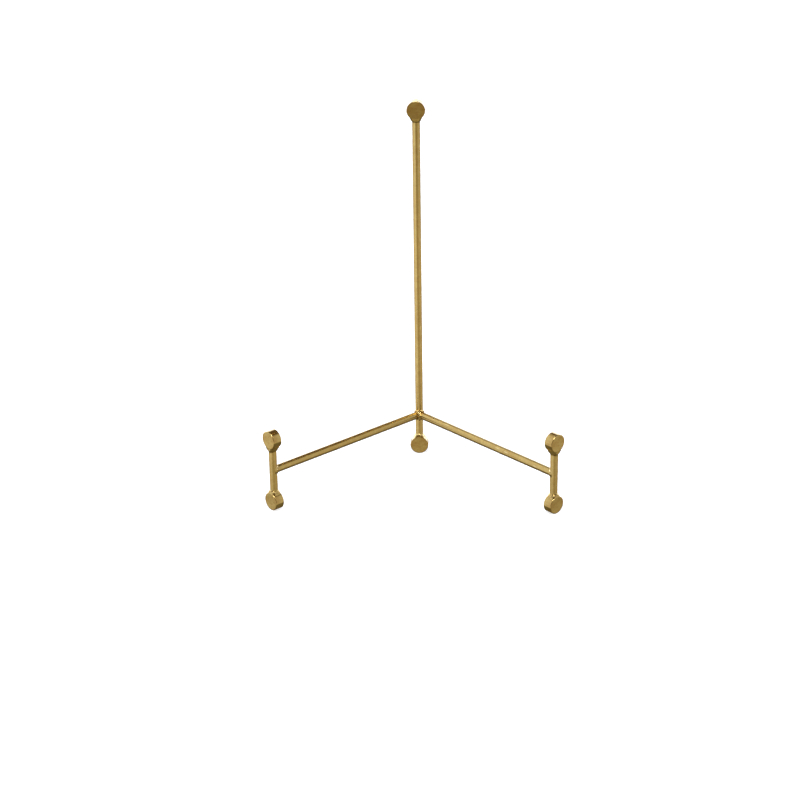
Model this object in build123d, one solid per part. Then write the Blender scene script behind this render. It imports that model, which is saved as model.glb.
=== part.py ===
from build123d import *
import os
from math import cos, radians, sin, sqrt, tan

# Welded display easel for a plate, a book or a small canvas.
#
# A vertical mast stands on one coin-shaped foot at the back. Two level arms run
# forward from the mast in a V and end halfway up two short posts. Each post stands
# on a coin foot and carries a coin stop. The mast ends in a coin that the displayed
# thing leans on. A coin is a slug of round bar that stands on its rim, and the rod
# is coped to the rim and welded to it all round. The weld under a stop or under the
# top coin is dressed to a long cone. The weld on a foot is shorter and slimmer.
#
# Millimetres. +Z is up, the open front of the V faces -Y, and +X is to the right of
# someone standing in front. The origin is the middle of the footprint, on the
# surface that the easel stands on.

# Overall proportions
OVERALL_HEIGHT = 307.0
ARM_HEIGHT = 34.5  # axis of the arms above the surface
ARM_LENGTH = 155.0  # mast axis to post axis
ARM_HALF_ANGLE = 46.0  # degrees between an arm and the plane of symmetry
STOP_HEIGHT = 61.6  # centre of a stop coin above the surface

# Round rod, a quarter of an inch thick
ROD_RADIUS = 3.175
FEATHER_TRIM = 1.0  # how far the thin tips of a fishmouth cut are ground back

# Coin
COIN_RADIUS = 7.5
COIN_THICKNESS = 7.8
COIN_EDGE_ROUND = 0.4

# Cone of weld metal between a rod and the rim of a coin
CONE_TOE = 0.1  # thickness where the cone runs out on the rod
STOP_CONE_REACH = 10.5  # coin centre to the toe, on the stops and the top coin
STOP_CONE_FLARE = 25.0  # degrees between the cone and the rod
FOOT_CONE_REACH = 10.0
FOOT_CONE_FLARE = 19.0

# Fillet of weld metal round the end of an arm
TEE_WELD_SIDE = 0.25  # thickness beside an arm
TEE_WELD_RISE = 1.0  # thickness above and below an arm
TEE_WELD_SPREAD = 1.3  # out from the upright that the arm meets
CROTCH_WELD_RADIUS = 3.3  # the lump between the two arms
CROTCH_WELD_FORWARD = 3.2  # its centre in front of the mast axis

# Worked out from the above
ARM_ALONG = (sin(radians(ARM_HALF_ANGLE)), cos(radians(ARM_HALF_ANGLE)))
FLAT_HALF = COIN_THICKNESS / 2 - COIN_EDGE_ROUND
FLAT_RADIUS = COIN_RADIUS - COIN_EDGE_ROUND
COIN_FRONT = FLAT_HALF * ARM_ALONG[1] + FLAT_RADIUS * ARM_ALONG[0] + COIN_EDGE_ROUND
MAST_Y = (ARM_LENGTH * ARM_ALONG[1] + COIN_FRONT - COIN_THICKNESS / 2) / 2
FOOT_HEIGHT = COIN_RADIUS
MAST_TOP_HEIGHT = OVERALL_HEIGHT - COIN_RADIUS
ROD_END = sqrt(COIN_RADIUS**2 - ROD_RADIUS**2)  # coin centre to the tips of a coped rod

UP = Vector(0, 0, 1)
DOWN = Vector(0, 0, -1)
FRONT = Vector(0, -1, 0)
MAST_FOOT = Vector(0, MAST_Y, 0)
SIDES = {"left": -1, "right": 1}


def arm_direction(side):
    """The level direction in which the arm of one side leaves the mast."""
    return Vector(side * ARM_ALONG[0], -ARM_ALONG[1], 0)


def post_foot(side):
    """The point on the surface under the axis of one post."""
    return MAST_FOOT + arm_direction(side) * ARM_LENGTH


def upright(foot, low, high, radius=ROD_RADIUS):
    """A vertical round rod over the point foot."""
    base = Plane(origin=foot + UP * low, z_dir=UP)
    return extrude(base * Circle(radius), high - low)


def level_bar(section, side, start, end):
    """A section carried along one arm between two distances from the mast axis."""
    along = arm_direction(side)
    origin = MAST_FOOT + UP * ARM_HEIGHT + along * start
    across = UP.cross(along)
    return extrude(Plane(origin=origin, x_dir=across, z_dir=along) * section, end - start)


def coin(centre, facing):
    """A round slug on its rim, with its flat sides square to facing."""
    blank = Cylinder(COIN_RADIUS, COIN_THICKNESS)
    blank = fillet(blank.edges().filter_by(GeomType.CIRCLE), COIN_EDGE_ROUND)
    return Plane(origin=centre, x_dir=UP, z_dir=facing) * blank


def coped_upright(foot, lower_coin, upper_coin, upper_height):
    """A vertical rod between the rims of two coins, coped to fit both."""
    rod = upright(foot, FOOT_HEIGHT + ROD_END, upper_height - ROD_END)
    return rod - lower_coin - upper_coin


def weld_cone(coin_solid, rod, centre, facing, neck, reach, flare):
    """Weld metal that flares from a rod to the rim of a coin, flush with its sides."""
    slope = tan(radians(flare))
    toe_radius = ROD_RADIUS + CONE_TOE
    line_distance = toe_radius * cos(radians(flare)) + reach * sin(radians(flare))
    root = line_distance * sin(radians(flare))
    root_radius = toe_radius + (reach - root) * slope
    root_plane = Plane(origin=centre + neck * root, x_dir=facing, z_dir=neck)
    toe_plane = Plane(origin=centre + neck * reach, x_dir=facing, z_dir=neck)
    cone = loft([root_plane * Circle(root_radius), toe_plane * Circle(toe_radius)])
    between_sides = root_plane * Box(COIN_THICKNESS, 2 * root_radius, 4 * reach)
    return (cone & between_sides) - coin_solid - rod


def arm_rod(side):
    """One arm, fishmouthed onto the mast and the post and mitred to the other arm."""
    reach = ARM_LENGTH - FEATHER_TRIM
    bar = level_bar(Circle(ROD_RADIUS), side, FEATHER_TRIM, reach)
    low = ARM_HEIGHT - 2 * ROD_RADIUS
    high = ARM_HEIGHT + 2 * ROD_RADIUS
    bar = bar - upright(MAST_FOOT, low, high) - upright(post_foot(side), low, high)
    keep = Keep.TOP if side > 0 else Keep.BOTTOM
    return split(bar, bisect_by=Plane.YZ, keep=keep)


def tee_collar(side, foot, start, end):
    """Weld metal round an arm, where it meets the upright that stands at foot."""
    section = Ellipse(ROD_RADIUS + TEE_WELD_SIDE, ROD_RADIUS + TEE_WELD_RISE)
    low = ARM_HEIGHT - 2 * ROD_RADIUS
    high = ARM_HEIGHT + 2 * ROD_RADIUS
    around = upright(foot, low, high, ROD_RADIUS + TEE_WELD_SPREAD)
    return level_bar(section, side, start, end) & around


def arm_weld(side, arm, post):
    """The weld between one arm and its post."""
    start = ARM_LENGTH - ROD_RADIUS - 2 * TEE_WELD_SPREAD
    return tee_collar(side, post_foot(side), start, ARM_LENGTH) - arm - post


def mast_weld(arms, mast):
    """The weld that joins both arms to the mast and fills the crotch between them."""
    end = ROD_RADIUS + 2 * TEE_WELD_SPREAD
    lump_centre = MAST_FOOT + UP * ARM_HEIGHT + FRONT * CROTCH_WELD_FORWARD
    weld = Pos(lump_centre) * Sphere(CROTCH_WELD_RADIUS)
    for side in SIDES.values():
        weld += tee_collar(side, MAST_FOOT, 0, end)
    for rod in [mast, *arms]:
        weld -= rod
    return weld


def column(foot, facing, upper_height):
    """An upright with its two coins and their welds: rod, foot and upper end."""
    low = foot + UP * FOOT_HEIGHT
    high = foot + UP * upper_height
    low_coin = coin(low, facing)
    high_coin = coin(high, facing)
    rod = coped_upright(foot, low_coin, high_coin, upper_height)
    low_weld = weld_cone(low_coin, rod, low, facing, UP, FOOT_CONE_REACH, FOOT_CONE_FLARE)
    high_weld = weld_cone(high_coin, rod, high, facing, DOWN, STOP_CONE_REACH, STOP_CONE_FLARE)
    return rod, (low_coin, low_weld), (high_coin, high_weld)


def build_easel():
    """Every piece of the easel under the name it is known by."""
    mast, rear_foot, mast_top = column(MAST_FOOT, FRONT, MAST_TOP_HEIGHT)
    pieces = {"mast_rod": mast}
    pieces["rear_foot_disc"], pieces["rear_foot_weld"] = rear_foot
    pieces["mast_top_disc"], pieces["mast_top_weld"] = mast_top
    for name, side in SIDES.items():
        post, foot, stop = column(post_foot(side), arm_direction(side), STOP_HEIGHT)
        arm = arm_rod(side)
        pieces[name + "_arm_rod"] = arm
        pieces[name + "_post_rod"] = post
        pieces[name + "_arm_weld"] = arm_weld(side, arm, post)
        pieces[name + "_foot_disc"], pieces[name + "_foot_weld"] = foot
        pieces[name + "_stop_disc"], pieces[name + "_stop_weld"] = stop
    arms = [pieces["left_arm_rod"], pieces["right_arm_rod"]]
    pieces["centre_weld"] = mast_weld(arms, mast)
    return pieces


os.makedirs("parts", exist_ok=True)
for node, piece in build_easel().items():
    export_step(piece, f"parts/{node}.step")
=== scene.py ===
import math

import bpy
import numpy as np
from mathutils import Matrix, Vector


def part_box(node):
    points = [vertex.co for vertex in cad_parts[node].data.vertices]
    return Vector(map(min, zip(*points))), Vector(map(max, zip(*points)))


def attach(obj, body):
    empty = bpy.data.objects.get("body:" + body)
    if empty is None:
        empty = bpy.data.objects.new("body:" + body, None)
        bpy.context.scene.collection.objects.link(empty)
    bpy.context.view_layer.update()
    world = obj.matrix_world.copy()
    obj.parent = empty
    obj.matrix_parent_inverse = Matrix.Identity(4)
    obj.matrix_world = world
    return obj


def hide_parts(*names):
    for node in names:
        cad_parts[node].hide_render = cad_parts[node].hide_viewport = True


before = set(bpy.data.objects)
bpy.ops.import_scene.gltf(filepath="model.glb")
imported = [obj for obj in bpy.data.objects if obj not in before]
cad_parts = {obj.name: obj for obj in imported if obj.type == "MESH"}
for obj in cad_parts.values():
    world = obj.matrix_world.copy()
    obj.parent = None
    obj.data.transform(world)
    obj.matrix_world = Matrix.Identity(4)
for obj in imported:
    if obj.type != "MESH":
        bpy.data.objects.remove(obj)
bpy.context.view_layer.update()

import openvdb
from mathutils import Matrix, Vector, noise

# Looks of the welded display easel. Shapes are worked out in millimetres in the frame's
# own axes and turned into metres where a mesh is made. The viewer stands at -Y.

MM = 0.001
UP = np.array([0.0, 0.0, 1.0])
FRONT = np.array([0.0, -1.0, 0.0])


# ---------------------------------------------------------------- places, from the frame

def corners(node):
    """Lowest and highest corner of a CAD node, in millimetres."""
    low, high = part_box(node)
    return np.array(low) / MM, np.array(high) / MM


def middle(node):
    low, high = corners(node)
    return (low + high) / 2


def size(node):
    low, high = corners(node)
    return high - low


def unit(vector):
    return np.array(vector, float) / np.linalg.norm(vector)


ROD_RADIUS = size("mast_rod")[0] / 2
COIN_RADIUS = size("mast_top_disc")[2] / 2
COIN_THICKNESS = size("mast_top_disc")[1]
ARM_HEIGHT = middle("left_arm_rod")[2]
MAST = middle("mast_rod")
JUNCTION = np.array([MAST[0], MAST[1], ARM_HEIGHT])
SIDES = {"left": -1, "right": 1}


def arm_direction(name):
    post = middle(name + "_post_rod")
    return unit([post[0] - MAST[0], post[1] - MAST[1], 0])


# ---------------------------------------------------------------- meshes

def new_object(name, vertices, faces, matrix=None):
    """A smooth-shaded mesh object. Vertices are in millimetres, in the matrix's frame."""
    mesh = bpy.data.meshes.new(name)
    mesh.from_pydata([tuple(v) for v in np.asarray(vertices) * MM], [], [tuple(f) for f in faces])
    mesh.validate()
    mesh.shade_smooth()
    piece = bpy.data.objects.new(name, mesh)
    bpy.context.scene.collection.objects.link(piece)
    if matrix is not None:
        piece.matrix_world = matrix
    return piece


def local_frame(origin, z_axis, x_hint):
    """A placement whose z points along z_axis and whose x is as near x_hint as it can be."""
    z = unit(z_axis)
    x = unit(np.array(x_hint, float) - np.dot(x_hint, z) * z)
    y = np.cross(z, x)
    matrix = Matrix.Identity(4)
    for row in range(3):
        matrix[row][0] = x[row]
        matrix[row][1] = y[row]
        matrix[row][2] = z[row]
        matrix[row][3] = origin[row] * MM
    return matrix


def ring_faces(rings, around):
    """Quads between successive rings of points."""
    faces = []
    for ring in range(rings - 1):
        low = ring * around
        for step in range(around):
            after = (step + 1) % around
            faces.append((low + step, low + after, low + around + after, low + around + step))
    return faces


def close_ends(vertices, faces, rings, around):
    """Close a stack of rings with a centre point and a fan of triangles at each end."""
    vertices = list(vertices)
    first = len(vertices)
    vertices.append(np.mean(vertices[:around], axis=0))
    vertices.append(np.mean(vertices[(rings - 1) * around:rings * around], axis=0))
    last = (rings - 1) * around
    for step in range(around):
        after = (step + 1) % around
        faces.append((first, after, step))
        faces.append((first + 1, last + step, last + after))
    return vertices, faces


ROD_AROUND = 72
ROD_STEP = 1.6  # mm between rings
ROD_WAVE = 0.022  # mm that the surface of a drawn rod wanders in and out
ROD_WAVE_LENGTH = 11.0
ROD_WAVE_TURN = 0.35  # how much the waviness differs from one side of a rod to the other
MARK_RINGS = 25  # rings over a drop of spatter


def ring_places(length, marks):
    """Shares of a rod's length at which it has a ring, close together at its marks."""
    places = [np.linspace(0, length, int(length / ROD_STEP) + 1)]
    for along, _, radius, _ in marks:
        places.append(np.linspace(along - 1.5 * radius, along + 1.5 * radius, MARK_RINGS))
    return np.unique(np.concatenate(places)) / length


def spatter(marks, height, angle):
    """How far drops of weld spatter raise a rod's surface at a place on it."""
    raised = 0.0
    for along, around, radius, rise in marks:
        turn = math.remainder(angle - around, 2 * math.pi)
        away = math.hypot(height - along, turn * ROD_RADIUS) / radius
        if away < 1:
            raised += rise * math.sqrt(1 - away**2)
    return raised


def make_rod(name, start, end, start_cope, end_cope, seed, marks=()):
    """A drawn rod from start to end. A cope gives how far the end of the rod stands back
    at each angle round it, so that it fits what it is welded to. Marks are drops of weld
    spatter, as (distance along, angle round, radius, height)."""
    length = np.linalg.norm(end - start)
    along = (end - start) / length
    hint = UP if abs(along[2]) < 0.5 else FRONT
    matrix = local_frame(start, along, hint)
    shares = ring_places(length, marks)
    angles = np.linspace(0, 2 * math.pi, ROD_AROUND, endpoint=False)
    first = np.array([start_cope(angle) for angle in angles])
    last = length - np.array([end_cope(angle) for angle in angles])
    vertices = []
    for share in shares:
        heights = first + (last - first) * share
        for angle, height in zip(angles, heights):
            x, y = math.cos(angle), math.sin(angle)
            place = Vector((x * ROD_WAVE_TURN + seed, y * ROD_WAVE_TURN, height / ROD_WAVE_LENGTH))
            radius = ROD_RADIUS + ROD_WAVE * noise.noise(place) - ROD_WAVE / 2
            radius += spatter(marks, height, angle)
            vertices.append((x * radius, y * radius, height))
    faces = ring_faces(len(shares), ROD_AROUND)
    vertices, faces = close_ends(vertices, faces, len(shares), ROD_AROUND)
    return new_object(name, vertices, faces, matrix)


COIN_AROUND = 128
COIN_EDGE = 0.5  # mm, radius of the softened edge
COIN_CROWN = 0.035  # mm that the middle of a flat side stands below its border
COIN_RIPPLE = 0.012  # mm that a flat side is uneven by
COIN_RIPPLE_LENGTH = 3.1
COIN_OVAL = 0.0016  # share of its radius that a coin is out of round by
COIN_OVAL_LENGTH = 5


def coin_profile():
    """Half section of a coin from the middle of its back to the middle of its front, as
    (radius, height) pairs."""
    half = COIN_THICKNESS / 2
    flat = COIN_RADIUS - COIN_EDGE
    side = [(flat * share, COIN_CROWN * (share**2 - 1)) for share in np.linspace(0.08, 1, 14)]
    corner = []
    for turn in np.linspace(0, math.pi / 2, 9)[1:]:
        corner.append((flat + COIN_EDGE * math.sin(turn), COIN_EDGE * (math.cos(turn) - 1)))
    rim = [(COIN_RADIUS, -COIN_EDGE - (half - COIN_EDGE) * share) for share in np.linspace(0, 1, 5)[1:]]
    front = [(radius, half + height) for radius, height in side + corner + rim]
    back = [(radius, -height) for radius, height in front[:-1]]
    return back + front[::-1]


def make_coin(name, centre, facing, seed):
    """A slug of round bar with softened edges and slightly uneven flat sides."""
    matrix = local_frame(centre, facing, UP)
    profile = coin_profile()
    vertices = []
    for radius, height in profile:
        for angle in np.linspace(0, 2 * math.pi, COIN_AROUND, endpoint=False):
            x, y = radius * math.cos(angle), radius * math.sin(angle)
            at_ripple = Vector((x, y, height)) / COIN_RIPPLE_LENGTH + Vector((seed, 0, 0))
            at_oval = Vector((x, y, height)) / COIN_OVAL_LENGTH + Vector((0, 0, seed))
            ripple = COIN_RIPPLE * noise.noise(at_ripple)
            grow = 1 + COIN_OVAL * noise.noise(at_oval)
            vertices.append((x * grow, y * grow, height + math.copysign(ripple, height)))
    faces = ring_faces(len(profile), COIN_AROUND)
    vertices, faces = close_ends(vertices, faces, len(profile), COIN_AROUND)
    return new_object(name, vertices, faces, matrix)


# ---------------------------------------------------------------- weld metal
#
# A weld is modelled as a distance field: the rods and coins that it joins, blended into
# each other, with beads laid on top. Only a thin skin of it lies inside what it joins.

WELD_SKIN = 0.45  # mm of weld inside the rods and coins
WELD_BURY = 0.06  # mm by which the run-out of a weld is sunk below the surface
NECK_PROUD = 0.03  # mm that makes up for the burying on a neck's flat sides
NECK_SQUARE = 3.0  # how square-shouldered a neck's section gets
FOOT_BEADS = 15
RUN_OUT_RATE = 3.0  # how fast the coin's edge stops limiting a neck away from the coin
NECK_LEDGE = 0.09  # mm that a neck stands proud of the rod where it ends
NECK_SOFTNESS = {"end": 0.3, "rod": 0.15, "coin": 0.25, "beads": 0.45, "side": 0.15}  # mm
NECK_LOW = 3.2  # mm from the coin's centre to the bottom of a neck's box
NECK_MARGIN = 3.4  # mm from a neck's reach to the top of its box
NECK_VOXEL = 0.16  # mm
JOINT_VOXEL = 0.15  # mm, of the welds at the ends of the arms
LUMPS_PER_MM = 0.9
FINE_LUMPS_PER_MM = 1.7
FINE_LUMPS_SHARE = 0.3
SLOPE_STEP = 0.02  # mm over which the slope of a field is taken


def rod_distance(points, base, along):
    offset = points - base
    axial = offset @ along
    return np.linalg.norm(offset - axial[:, None] * along, axis=1) - ROD_RADIUS


def coin_distance(points, centre, facing):
    offset = points - centre
    axial = offset @ facing
    radial = np.linalg.norm(offset - axial[:, None] * facing, axis=1)
    over_rim = radial - (COIN_RADIUS - COIN_EDGE)
    over_side = np.abs(axial) - (COIN_THICKNESS / 2 - COIN_EDGE)
    outside = np.hypot(np.maximum(over_rim, 0), np.maximum(over_side, 0))
    return outside + np.minimum(np.maximum(over_rim, over_side), 0) - COIN_EDGE


def smooth_min(first, second, width):
    share = np.clip(0.5 + 0.5 * (second - first) / width, 0, 1)
    return second * (1 - share) + first * share - width * share * (1 - share)


def smooth_max(first, second, width):
    return -smooth_min(-first, -second, width)


def smooth_step(low, high, value):
    share = np.clip((value - low) / (high - low), 0, 1)
    return share * share * (3 - 2 * share)


def beads_distance(points, beads):
    """Distance to a row of round blobs, each (centre, radius)."""
    distance = np.full(len(points), 1e3)
    for centre, radius in beads:
        distance = np.minimum(distance, np.linalg.norm(points - centre, axis=1) - radius)
    return distance


def mesh_from_field(low, high, voxel, field):
    """Vertices and quads of the surface where field is zero, inside a box."""
    axes = [np.arange(low[k], high[k], voxel) for k in range(3)]
    grid = np.stack(np.meshgrid(*axes, indexing="ij"), -1)
    values = field(grid.reshape(-1, 3)).reshape(grid.shape[:3])
    values[[0, -1]] = voxel
    values[:, [0, -1]] = voxel
    values[:, :, [0, -1]] = voxel
    volume = openvdb.FloatGrid(voxel)
    volume.copyFromArray(np.clip(values, -3 * voxel, 3 * voxel).astype(np.float32))
    points, quads = volume.convertToQuads(0.0)
    return np.asarray(points, float) * voxel + np.asarray(low), np.asarray(quads)[:, ::-1]


def field_slope(field, points):
    """Unit vectors along which a field grows fastest."""
    steps = SLOPE_STEP * np.eye(3)
    slope = np.stack([field(points + step) - field(points - step) for step in steps], 1)
    return slope / np.maximum(np.linalg.norm(slope, axis=1), 1e-6)[:, None]


def make_weld(name, centre, reach, voxel, blended, joined, lumps, seed):
    """A weld as its own closed mesh. blended gives the dressed surface, joined gives the
    surface of the rods and coins, and lumps is how many mm the weld is uneven by."""
    def field(points):
        metal = blended(points) + WELD_BURY
        return np.maximum(metal, -joined(points) - WELD_SKIN)

    vertices, faces = mesh_from_field(centre - reach, centre + reach, voxel, field)
    slope = field_slope(blended, vertices)
    proud = smooth_step(0.0, 0.35, joined(vertices))
    for index, (vertex, share) in enumerate(zip(vertices, proud)):
        if share > 0:
            place = Vector(vertex)
            uneven = noise.noise(place * LUMPS_PER_MM + Vector((seed, 0, 0)))
            uneven += FINE_LUMPS_SHARE * noise.noise(place * FINE_LUMPS_PER_MM + Vector((0, seed, 0)))
            vertices[index] = vertex + slope[index] * lumps * share * uneven
    return new_object(name, vertices, faces)


def run_out(height):
    """Half width at which a neck disappears into the rounded edge of its coin."""
    flat = COIN_RADIUS - COIN_EDGE + 0.1
    chord = np.sqrt(np.clip(flat**2 - height**2, 0.01, None))
    return chord + RUN_OUT_RATE * np.clip(height - flat / 2, 0, None)


def neck_weld(name, coin_centre, facing, neck, shape, seed, beads=()):
    """Weld metal that flares from a rod to the rim of a coin, flush with its flat sides.
    Its section is round at the rod and square-shouldered at the coin. The shape is its
    reach from the coin's centre, its flare, its tongue and its lumps."""
    reach, flare, tongue, lumps = shape
    slope = math.tan(math.radians(flare))
    half = COIN_THICKNESS / 2
    sideways = np.cross(facing, neck)

    def coin(points):
        return coin_distance(points, coin_centre, facing)

    def rod(points):
        return rod_distance(points, coin_centre, neck)

    def joined(points):
        return np.minimum(coin(points), rod(points))

    def blended(points):
        offset = points - coin_centre
        off_middle = np.clip(np.abs(offset @ sideways) / ROD_RADIUS, 0, 1)
        above = offset @ neck - reach - tongue * (1 - off_middle**2)
        fall = np.clip(reach - offset @ neck, 0, None)
        wide = np.minimum(ROD_RADIUS + NECK_LEDGE + fall * slope, run_out(offset @ neck))
        thick = np.minimum(ROD_RADIUS + NECK_LEDGE + fall * slope, half + NECK_PROUD)
        power = 2 + NECK_SQUARE * smooth_step(0.0, 3.5, fall)
        across = np.abs(offset @ sideways) / wide
        deep = np.abs(offset @ facing) / thick
        section = (across**power + deep**power) ** (1 / power)
        metal = (section - 1) * np.minimum(wide, thick) * math.cos(math.radians(flare))
        metal = smooth_max(metal, above, NECK_SOFTNESS["end"])
        metal = smooth_min(metal, rod(points), NECK_SOFTNESS["rod"])
        metal = smooth_min(metal, coin(points), NECK_SOFTNESS["coin"])
        if beads:
            metal = smooth_min(metal, beads_distance(points, beads), NECK_SOFTNESS["beads"])
        return smooth_max(metal, np.abs(offset @ facing) - half - NECK_PROUD, NECK_SOFTNESS["side"])

    low, high = NECK_LOW, reach + NECK_MARGIN
    centre = coin_centre + neck * (low + high) / 2
    extent = np.abs(neck) * (high - low) / 2 + (1 - np.abs(neck)) * (COIN_RADIUS + 0.8)
    return make_weld(name, centre, extent, NECK_VOXEL, blended, joined, lumps, seed)


def ring_beads(coin_centre, facing, neck, rng):
    """Beads laid round the seam between a rod and the rim of a coin."""
    across = np.cross(facing, neck)
    beads = []
    for turn in np.linspace(0, 2 * math.pi, FOOT_BEADS, endpoint=False):
        turn = turn + rng.uniform(-0.12, 0.12)
        out = ROD_RADIUS + rng.uniform(0.1, 0.7)
        sideways = out * math.cos(turn)
        forward = np.clip(out * math.sin(turn), 1.6 - COIN_THICKNESS / 2, COIN_THICKNESS / 2 - 0.9)
        height = math.sqrt(COIN_RADIUS**2 - sideways**2) + rng.uniform(0.4, 1.9)
        centre = coin_centre + across * sideways + facing * forward + neck * height
        beads.append((centre, rng.uniform(0.6, 0.95)))
    return beads


ARM_BEADS = 13
ARM_FILLET = 1.3  # mm
ARM_LUMPS = 0.04  # mm


def arm_end_weld(name, side_name, seed):
    """The fillet where an arm meets its post, with small beads round it."""
    post = middle(side_name + "_post_rod")
    foot = np.array([post[0], post[1], ARM_HEIGHT])
    along = arm_direction(side_name)
    rng = np.random.default_rng(int(seed * 10))
    across = np.cross(along, UP)
    beads = []
    for turn in np.linspace(0, 2 * math.pi, ARM_BEADS, endpoint=False):
        sideways = (ROD_RADIUS - 0.1) * math.cos(turn)
        height = (ROD_RADIUS + 0.05) * math.sin(turn)
        back = math.sqrt(ROD_RADIUS**2 - sideways**2) + 0.3
        centre = foot - along * back + across * sideways + UP * height
        beads.append((centre, rng.uniform(0.40, 0.75)))

    def arm(points):
        return np.maximum(rod_distance(points, foot, along), (points - foot) @ along)

    def joined(points):
        return np.minimum(rod_distance(points, foot, UP), arm(points))

    def blended(points):
        metal = smooth_min(rod_distance(points, foot, UP), arm(points), ARM_FILLET)
        return smooth_min(metal, beads_distance(points, beads), 0.25)

    centre = foot - along * 3.0
    return make_weld(name, centre, np.full(3, 5.6), JOINT_VOXEL, blended, joined, ARM_LUMPS, seed)


CROTCH_BEADS = (  # forward of the mast axis, to the right, up from the arm axis, radius; mm
    (4.0, -0.9, 4.3, 1.25),
    (4.5, -0.4, 3.2, 1.25),
    (5.0, 0.3, 2.2, 1.25),
    (5.4, 0.9, 1.2, 1.20),
    (5.5, 0.5, 0.1, 1.20),
    (5.5, 0.6, -1.1, 1.10),
    (5.2, 0.3, -2.2, 1.05),
    (4.6, 0.4, -3.1, 0.90),
    (3.3, 1.9, 4.4, 0.95),
    (2.6, 3.1, 4.0, 0.85),
    (1.6, 3.9, 3.6, 0.70),
    (2.8, -2.6, 4.1, 0.80),
    (1.5, -3.7, 3.7, 0.65),
)
CROTCH_PITS = (  # as above: small holes left between the beads
    (4.7, 1.2, 3.6, 0.75),
    (5.8, 1.9, 2.2, 0.55),
    (6.0, -0.9, 0.6, 0.50),
)
CROTCH_FILLET = 1.5  # mm
CROTCH_LUMPS = 0.02  # mm
CROTCH_BOX = (7.6, 6.6, 7.0)  # mm each way from its middle


def centre_weld(name):
    """Weld metal between the mast and the two arms, with a run of beads down the front."""
    left, right = arm_direction("left"), arm_direction("right")
    rightward = np.array([1.0, 0.0, 0.0])

    def place(forward, sideways, height):
        return JUNCTION + FRONT * forward + rightward * sideways + UP * height

    beads = [(place(*row[:3]), row[3]) for row in CROTCH_BEADS]
    pits = [(place(*row[:3]), row[3]) for row in CROTCH_PITS]

    def arm(points, along):
        return np.maximum(rod_distance(points, JUNCTION, along), -(points - JUNCTION) @ along)

    def joined(points):
        arms = np.minimum(arm(points, left), arm(points, right))
        return np.minimum(arms, rod_distance(points, JUNCTION, UP))

    def blended(points):
        arms = smooth_min(arm(points, left), arm(points, right), CROTCH_FILLET)
        metal = smooth_min(arms, rod_distance(points, JUNCTION, UP), CROTCH_FILLET)
        metal = smooth_min(metal, beads_distance(points, beads), 0.5)
        return smooth_max(metal, -beads_distance(points, pits), 0.2)

    centre = JUNCTION + FRONT * 2.0
    reach = np.array(CROTCH_BOX)
    return make_weld(name, centre, reach, JOINT_VOXEL, blended, joined, CROTCH_LUMPS, 3.7)


# ---------------------------------------------------------------- materials

GOLD = (0.60, 0.435, 0.165)
GRAZING_TINT = (0.88, 0.82, 0.68, 1)
WORN_EDGE = (0.82, 0.66, 0.36, 1)
# colour of painted shade: creases found by ambient occlusion are darkened toward it
PAINTED_SHADE_COLOUR = (0.06, 0.03, 0.01, 1)
CREASE_REACH = 0.0007  # m
ALONG_ROD = (1, 1, 0.03)  # grain drawn out along a rod
EVEN = (1, 1, 1)


def tinted(colour, factor, warm=0.0):
    return (min(colour[0] * factor, 1), min(colour[1] * factor * (1 - warm), 1),
            min(colour[2] * factor * (1 - 2 * warm), 1), 1)


class Nodes:
    """Short calls to build one material's node tree."""

    def __init__(self, name):
        self.material = bpy.data.materials.new(name)
        self.material.use_nodes = True
        self.tree = self.material.node_tree
        self.shader = self.tree.nodes["Principled BSDF"]
        self.place = self.tree.nodes.new("ShaderNodeTexCoord").outputs["Object"]

    def link(self, output, socket):
        self.tree.links.new(output, socket)

    def noise(self, per_metre, detail=3.0, roughness=0.55, stretch=(1, 1, 1)):
        mapping = self.tree.nodes.new("ShaderNodeMapping")
        mapping.inputs["Scale"].default_value = stretch
        self.link(self.place, mapping.inputs["Vector"])
        texture = self.tree.nodes.new("ShaderNodeTexNoise")
        texture.inputs["Scale"].default_value = per_metre
        texture.inputs["Detail"].default_value = detail
        texture.inputs["Roughness"].default_value = roughness
        self.link(mapping.outputs["Vector"], texture.inputs["Vector"])
        return texture.outputs["Fac"]

    def span(self, value, low, high, to_low, to_high):
        node = self.tree.nodes.new("ShaderNodeMapRange")
        node.inputs["From Min"].default_value = low
        node.inputs["From Max"].default_value = high
        node.inputs["To Min"].default_value = to_low
        node.inputs["To Max"].default_value = to_high
        self.link(value, node.inputs["Value"])
        return node.outputs["Result"]

    def mix(self, factor, first, second, blend="MIX"):
        node = self.tree.nodes.new("ShaderNodeMix")
        node.data_type = "RGBA"
        node.blend_type = blend
        for value, socket in ((factor, node.inputs[0]), (first, node.inputs[6]), (second, node.inputs[7])):
            if hasattr(value, "links"):
                self.link(value, socket)
            else:
                socket.default_value = value
        return node.outputs[2]

    def add(self, first, second, operation="ADD"):
        node = self.tree.nodes.new("ShaderNodeMath")
        node.operation = operation
        for value, socket in ((first, node.inputs[0]), (second, node.inputs[1])):
            if hasattr(value, "links"):
                self.link(value, socket)
            else:
                socket.default_value = value
        return node.outputs[0]

    def bump(self, height, distance, normal=None):
        node = self.tree.nodes.new("ShaderNodeBump")
        node.inputs["Distance"].default_value = distance
        self.link(height, node.inputs["Height"])
        if normal is not None:
            self.link(normal, node.inputs["Normal"])
        return node.outputs["Normal"]


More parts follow.
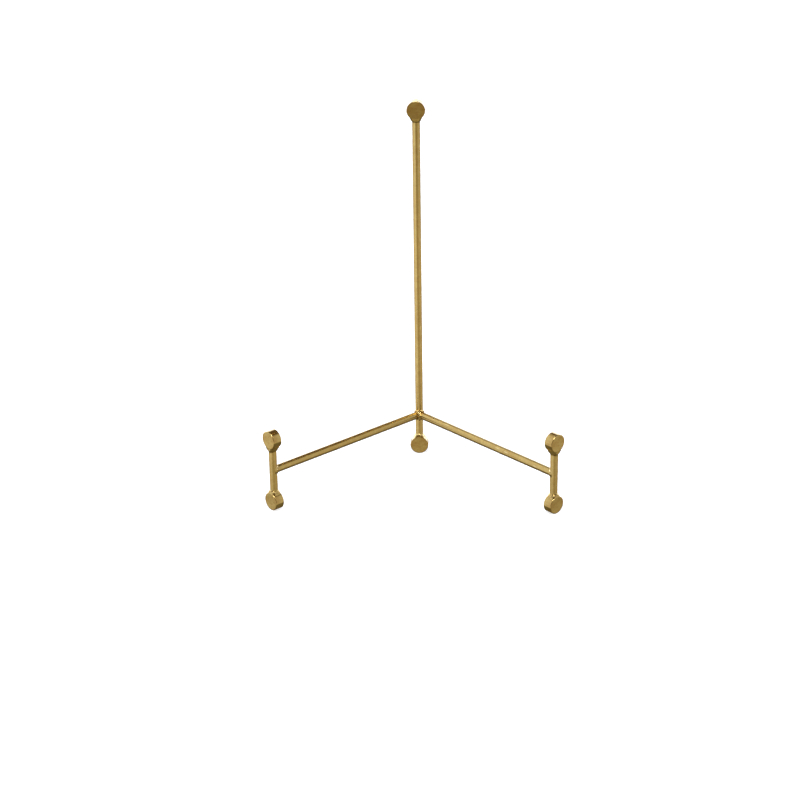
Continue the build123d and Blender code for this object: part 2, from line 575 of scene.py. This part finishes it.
def gold_material(name, roughness, grain_stretch, grain_depth, patch_depth, crease_shade_strength, tarnish):
    """Gold finished steel: soft patches of tone, fine grain, worn edges, and painted shade in creases.
    Depths are in mm, and the strength of the painted crease shade and of tarnish are given from 0 to 1."""
    nodes = Nodes(name)
    patches = nodes.noise(70, 4.0)
    mottle = nodes.noise(520, 5.0, 0.6)
    specks = nodes.noise(1500, 2.0, 0.5)
    grain = nodes.noise(900, 4.0, 0.6, grain_stretch)
    colour = nodes.mix(nodes.span(patches, 0.3, 0.7, 0, 1), tinted(GOLD, 0.97), tinted(GOLD, 1.09, -0.01))
    blush = nodes.noise(190, 2.0, 0.5)
    colour = nodes.mix(nodes.span(blush, 0.38, 0.62, 0, tarnish), colour, tinted(GOLD, 0.86, 0.11))
    colour = nodes.mix(nodes.span(mottle, 0.4, 0.75, 0, 0.5), colour, tinted(GOLD, 0.86, 0.01))
    colour = nodes.mix(nodes.span(specks, 0.68, 0.74, 0, 0.5), colour, tinted(GOLD, 0.45, 0.10))
    geometry = nodes.tree.nodes.new("ShaderNodeNewGeometry")
    edge = nodes.span(geometry.outputs["Pointiness"], 0.53, 0.60, 0, 0.6)
    colour = nodes.mix(edge, colour, WORN_EDGE)
    # painted shade: ambient occlusion darkens creases and crevices toward a near-black brown, and the same
    # mask makes them rougher
    crease = nodes.tree.nodes.new("ShaderNodeAmbientOcclusion")
    crease.inputs["Distance"].default_value = CREASE_REACH
    crease.samples = 8
    painted_shade_mask = nodes.span(crease.outputs["AO"], 0.30, 0.62, crease_shade_strength, 0)
    colour = nodes.mix(painted_shade_mask, colour, PAINTED_SHADE_COLOUR)
    nodes.link(colour, nodes.shader.inputs["Base Color"])
    rough = nodes.add(nodes.span(mottle, 0.3, 0.7, roughness - 0.03, roughness + 0.04),
                      nodes.span(grain, 0.35, 0.65, -0.02, 0.03))
    rough = nodes.add(rough, nodes.add(painted_shade_mask, 0.3, "MULTIPLY"))
    nodes.link(rough, nodes.shader.inputs["Roughness"])
    normal = nodes.bump(mottle, patch_depth * MM)
    normal = nodes.bump(grain, grain_depth * MM, normal)
    nodes.link(normal, nodes.shader.inputs["Normal"])
    nodes.shader.inputs["Metallic"].default_value = 1.0
    nodes.shader.inputs["Specular Tint"].default_value = GRAZING_TINT
    return nodes.material


# the sixth number of each material is how strong the painted shade in its creases is
MATERIALS = {
    "gold_rod": gold_material("gold_rod", 0.15, ALONG_ROD, 0.004, 0.008, 0.4, 0.4),
    "gold_disc": gold_material("gold_disc", 0.18, EVEN, 0.003, 0.010, 0.3, 0.9),
    "gold_weld": gold_material("gold_weld", 0.11, EVEN, 0.006, 0.015, 0.35, 0.5),
}


def finish_piece(piece, node, slot):
    """Give a piece its metal and put it in the place of its CAD node."""
    piece.data.materials.append(MATERIALS[slot])
    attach(piece, "root")
    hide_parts(node)


# ---------------------------------------------------------------- the easel

SPATTER = {  # along the arm, mm; round it from its top, radians; radius and height, mm
    "left": (),
    "right": ((17.9, 0.40, 0.75, 0.50), (19.5, 0.66, 0.60, 0.42)),
}
MAST_TONGUE = 2.2  # mm that a neck runs further down the middle of the rod
POST_TONGUE = 0.8
FOOT_TONGUE = 0.4
FOOT_REACH = 9.6  # mm from the coin's centre to where a neck ends
NECK_REACH = 10.2
FOOT_FLARE = 19.0  # degrees between a neck and its rod
NECK_FLARE = 25.0
FOOT_LUMPS = 0.07  # mm that a weld is uneven by
NECK_LUMPS = 0.035
COPE_SINK = 0.25  # mm that a coped end enters what it is welded to


def coin_cope(angle):
    """How far the end of a rod stands back from the top of a coin's rim, at an angle
    round a rod whose local x points to the coin's flat side."""
    across = ROD_RADIUS * math.sin(angle)
    return -COPE_SINK - (COIN_RADIUS - math.sqrt(COIN_RADIUS**2 - across**2))


def rod_cope(angle):
    """The same for an arm that ends on an upright rod. Local x of an arm points up."""
    across = ROD_RADIUS * math.sin(angle)
    return math.sqrt(max(ROD_RADIUS**2 - across**2, 0)) - COPE_SINK


def build_column(rod_node, low_coin, high_coin, facing, tongue, seed):
    """An upright with a coin at each end and a weld at each coin."""
    low, high = middle(low_coin), middle(high_coin)
    start = low + UP * COIN_RADIUS
    end = high - UP * COIN_RADIUS
    turn = math.atan2(np.cross(FRONT, facing)[2], np.dot(FRONT, facing))

    def cope(angle):
        return coin_cope(angle - turn)

    finish_piece(make_rod(rod_node + "_drawn", start, end, cope, cope, seed), rod_node, "gold_rod")
    for step, node in enumerate((low_coin, high_coin)):
        coin = make_coin(node + "_turned", middle(node), facing, seed + step)
        finish_piece(coin, node, "gold_disc")
    build_foot_weld(low_coin, low, facing, seed)
    node = high_coin.replace("disc", "weld")
    shape = (NECK_REACH, NECK_FLARE, tongue, NECK_LUMPS)
    finish_piece(neck_weld(node + "_dressed", high, facing, -UP, shape, seed + 0.5), node, "gold_weld")


def build_foot_weld(coin_node, centre, facing, seed):
    """The beaded weld between a foot and the rod that stands on it."""
    node = coin_node.replace("disc", "weld")
    beads = ring_beads(centre, facing, UP, np.random.default_rng(int(seed * 100)))
    shape = (FOOT_REACH, FOOT_FLARE, FOOT_TONGUE, FOOT_LUMPS)
    finish_piece(neck_weld(node + "_bead", centre, facing, UP, shape, seed, beads), node, "gold_weld")


def build_arm(side_name, side):
    """A level arm from the mast to its post, and the weld at the post."""
    post = middle(side_name + "_post_rod")
    end = np.array([post[0], post[1], ARM_HEIGHT])
    name = side_name + "_arm"
    arm = make_rod(name + "_drawn", JUNCTION, end, rod_cope, rod_cope, 7.0 + side, SPATTER[side_name])
    finish_piece(arm, name + "_rod", "gold_rod")
    finish_piece(arm_end_weld(name + "_weld_bead", side_name, 5.0 + side), name + "_weld", "gold_weld")


build_column("mast_rod", "rear_foot_disc", "mast_top_disc", FRONT, MAST_TONGUE, 1.3)
for side_name, side in SIDES.items():
    post, foot, stop = side_name + "_post_rod", side_name + "_foot_disc", side_name + "_stop_disc"
    build_column(post, foot, stop, arm_direction(side_name), POST_TONGUE, 3.1 + side)
    build_arm(side_name, side)
finish_piece(centre_weld("centre_weld_bead"), "centre_weld", "gold_weld")


# ---------------------------------------------------------------- studio

CARDS = (  # azimuth, half width, elevation, half height, softness, all in degrees; radiance
    (-95, 42, 19, 26, 12, (0.80, 0.87, 0.98)),  # left wall
    (-76, 54, -20.3, 5, 4, (0.42, 0.50, 0.66)),  # floor on the left
    (-4, 10, -28, 2, 4, (0.15, 0.16, 0.17)),  # floor before the rear foot
    (-44, 20, -20, 4, 7, (0.12, 0.14, 0.17)),  # brighter stretch of it
    (-138, 22, 48, 6, 10, (0.45, 0.48, 0.48)),  # high on the left, behind
    (86, 24, 17, 28, 9, (0.50, 0.53, 0.54)),  # right wall
    (74, 40, -20, 4, 6, (0.14, 0.17, 0.24)),  # floor on the right
    (180, 64, 5, 17, 5, (2.10, 2.60, 4.60)),  # wall behind
    (180, 46, -23, 9, 12, (0.05, 0.05, 0.05)),  # floor behind
    (-4, 50, 66, 11, 4, (11.0, 11.5, 12.0)),  # lamp above the viewer
)
FLOOR_TONE = (0.58, 0.51, 0.34)
NEAR_FLOOR_TONE = (0.22, 0.20, 0.13)
ROOM_TONE = (0.19, 0.14, 0.07)
CEILING_TONE = (0.04, 0.02, 0.01)
CEILING_STARTS = (math.radians(45), math.radians(75))  # elevations where one tone turns into the next
FLOOR_STARTS = (math.radians(-13), math.radians(-20))
NEAR_FLOOR_STARTS = (math.radians(-25), math.radians(-32))


class Sky:
    """Short calls to build the node tree of the room that the metal reflects."""

    def __init__(self, tree):
        self.tree = tree
        self.place = tree.nodes.new("ShaderNodeTexCoord").outputs["Generated"]
        split = tree.nodes.new("ShaderNodeSeparateXYZ")
        tree.links.new(self.place, split.inputs[0])
        self.elevation = self.math("ARCSINE", split.outputs["Z"])

    def math(self, operation, first, second=0.0):
        node = self.tree.nodes.new("ShaderNodeMath")
        node.operation = operation
        for value, socket in ((first, node.inputs[0]), (second, node.inputs[1])):
            if hasattr(value, "links"):
                self.tree.links.new(value, socket)
            else:
                socket.default_value = value
        return node.outputs[0]

    def dot(self, vector):
        node = self.tree.nodes.new("ShaderNodeVectorMath")
        node.operation = "DOT_PRODUCT"
        node.inputs[1].default_value = vector
        self.tree.links.new(self.place, node.inputs[0])
        return node.outputs["Value"]

    def ramp(self, value, start, end, to_start=0.0, to_end=1.0):
        node = self.tree.nodes.new("ShaderNodeMapRange")
        node.interpolation_type = "SMOOTHSTEP"
        node.inputs["From Min"].default_value = start
        node.inputs["From Max"].default_value = end
        node.inputs["To Min"].default_value = to_start
        node.inputs["To Max"].default_value = to_end
        self.tree.links.new(value, node.inputs["Value"])
        return node.outputs["Result"]

    def mix(self, blend, factor, first, second):
        node = self.tree.nodes.new("ShaderNodeMix")
        node.data_type = "RGBA"
        node.blend_type = blend
        self.tree.links.new(factor, node.inputs[0])
        for value, socket in ((first, node.inputs[6]), (second, node.inputs[7])):
            if hasattr(value, "links"):
                self.tree.links.new(value, socket)
            else:
                socket.default_value = (*value, 1)
        return node.outputs[2]

    def card(self, azimuth, half_width, elevation, half_height, softness):
        """How much of a soft-edged card is seen in a direction, from 0 to 1."""
        azimuth, elevation = math.radians(azimuth), math.radians(elevation)
        ahead = self.dot((math.sin(azimuth), -math.cos(azimuth), 0))
        aside = self.dot((math.cos(azimuth), math.sin(azimuth), 0))
        turn = self.math("ABSOLUTE", self.math("ARCTAN2", aside, ahead))
        rise = self.math("ABSOLUTE", self.math("SUBTRACT", self.elevation, elevation))
        soft = math.radians(softness)
        across = self.ramp(turn, math.radians(half_width) + soft, math.radians(half_width))
        upward = self.ramp(rise, math.radians(half_height) + soft, math.radians(half_height))
        return self.math("MULTIPLY", across, upward)


def make_world():
    """A dim room with soft light from the left, the right and behind."""
    world = bpy.data.worlds.new("studio")
    bpy.context.scene.world = world
    world.use_nodes = True
    tree = world.node_tree
    tree.nodes.clear()
    sky = Sky(tree)
    over = sky.ramp(sky.elevation, *CEILING_STARTS)
    room = sky.mix("MIX", over, ROOM_TONE, CEILING_TONE)
    level = sky.ramp(sky.elevation, *FLOOR_STARTS)
    total = sky.mix("MIX", level, room, FLOOR_TONE)
    steep = sky.ramp(sky.elevation, *NEAR_FLOOR_STARTS)
    total = sky.mix("MIX", steep, total, NEAR_FLOOR_TONE)
    for azimuth, half_width, elevation, half_height, softness, radiance in CARDS:
        card = sky.card(azimuth, half_width, elevation, half_height, softness)
        total = sky.mix("ADD", card, total, radiance)
    background = tree.nodes.new("ShaderNodeBackground")
    tree.links.new(total, background.inputs["Color"])
    output = tree.nodes.new("ShaderNodeOutputWorld")
    tree.links.new(background.outputs[0], output.inputs["Surface"])


FLOOR_SIZE = 40.0  # m
PALE = (0.5, 0.5, 0.5, 1)
FLOOR_GLOW = 0.75


def make_floor():
    """A pale light table. It is kept out of the metal's reflections."""
    half = FLOOR_SIZE / 2
    mesh = bpy.data.meshes.new("floor")
    corner_points = [(-half, -half, 0), (half, -half, 0), (half, half, 0), (-half, half, 0)]
    mesh.from_pydata(corner_points, [], [(0, 1, 2, 3)])
    floor = bpy.data.objects.new("floor", mesh)
    bpy.context.scene.collection.objects.link(floor)
    material = bpy.data.materials.new("pale_floor")
    material.use_nodes = True
    shader = material.node_tree.nodes["Principled BSDF"]
    shader.inputs["Base Color"].default_value = PALE
    shader.inputs["Roughness"].default_value = 0.9
    shader.inputs["Specular IOR Level"].default_value = 0.0
    shader.inputs["Emission Color"].default_value = (1, 1, 1, 1)
    shader.inputs["Emission Strength"].default_value = FLOOR_GLOW
    mesh.materials.append(material)
    floor.visible_glossy = False


def make_backdrop():
    """A white dome round the floor, seen by the camera alone."""
    bpy.ops.mesh.primitive_uv_sphere_add(segments=48, ring_count=24, radius=FLOOR_SIZE / 2)
    dome = bpy.context.object
    dome.name = "backdrop"
    material = bpy.data.materials.new("white_backdrop")
    material.use_nodes = True
    tree = material.node_tree
    tree.nodes.clear()
    glow = tree.nodes.new("ShaderNodeEmission")
    output = tree.nodes.new("ShaderNodeOutputMaterial")
    tree.links.new(glow.outputs[0], output.inputs["Surface"])
    dome.data.materials.append(material)
    dome.visible_diffuse = False
    dome.visible_glossy = False
    dome.visible_transmission = False
    dome.visible_shadow = False


CAMERA_FROM_JUNCTION = (81.533, -1632.616, 763.389)  # mm
CAMERA_YAW = 0.059674  # radians, to the left of straight ahead
CAMERA_PITCH = 0.4302  # down
CAMERA_ROLL = 0.01507
CAMERA_LENS = 96.75  # mm, on a sensor 36 mm wide


def make_camera():
    """A camera in front of the easel that looks down on it."""
    data = bpy.data.cameras.new("camera")
    data.lens = CAMERA_LENS
    data.sensor_width = 36.0
    data.clip_start = 0.05
    data.clip_end = 100.0
    camera = bpy.data.objects.new("camera", data)
    sin_yaw, cos_yaw = math.sin(CAMERA_YAW), math.cos(CAMERA_YAW)
    sin_pitch, cos_pitch = math.sin(CAMERA_PITCH), math.cos(CAMERA_PITCH)
    right = np.array([cos_yaw, sin_yaw, 0])
    forward = np.array([-sin_yaw * cos_pitch, cos_yaw * cos_pitch, -sin_pitch])
    up = np.cross(right, forward)
    sin_roll, cos_roll = math.sin(CAMERA_ROLL), math.cos(CAMERA_ROLL)
    rolled_right = cos_roll * right - sin_roll * up
    rolled_up = sin_roll * right + cos_roll * up
    place = (JUNCTION + np.array(CAMERA_FROM_JUNCTION)) * MM
    matrix = Matrix.Identity(4)
    for row in range(3):
        matrix[row][0] = rolled_right[row]
        matrix[row][1] = rolled_up[row]
        matrix[row][2] = -forward[row]
        matrix[row][3] = place[row]
    camera.matrix_world = matrix
    bpy.context.scene.collection.objects.link(camera)
    bpy.context.scene.camera = camera


make_world()
make_floor()
make_backdrop()
make_camera()
bpy.context.scene.view_settings.view_transform = "Standard"
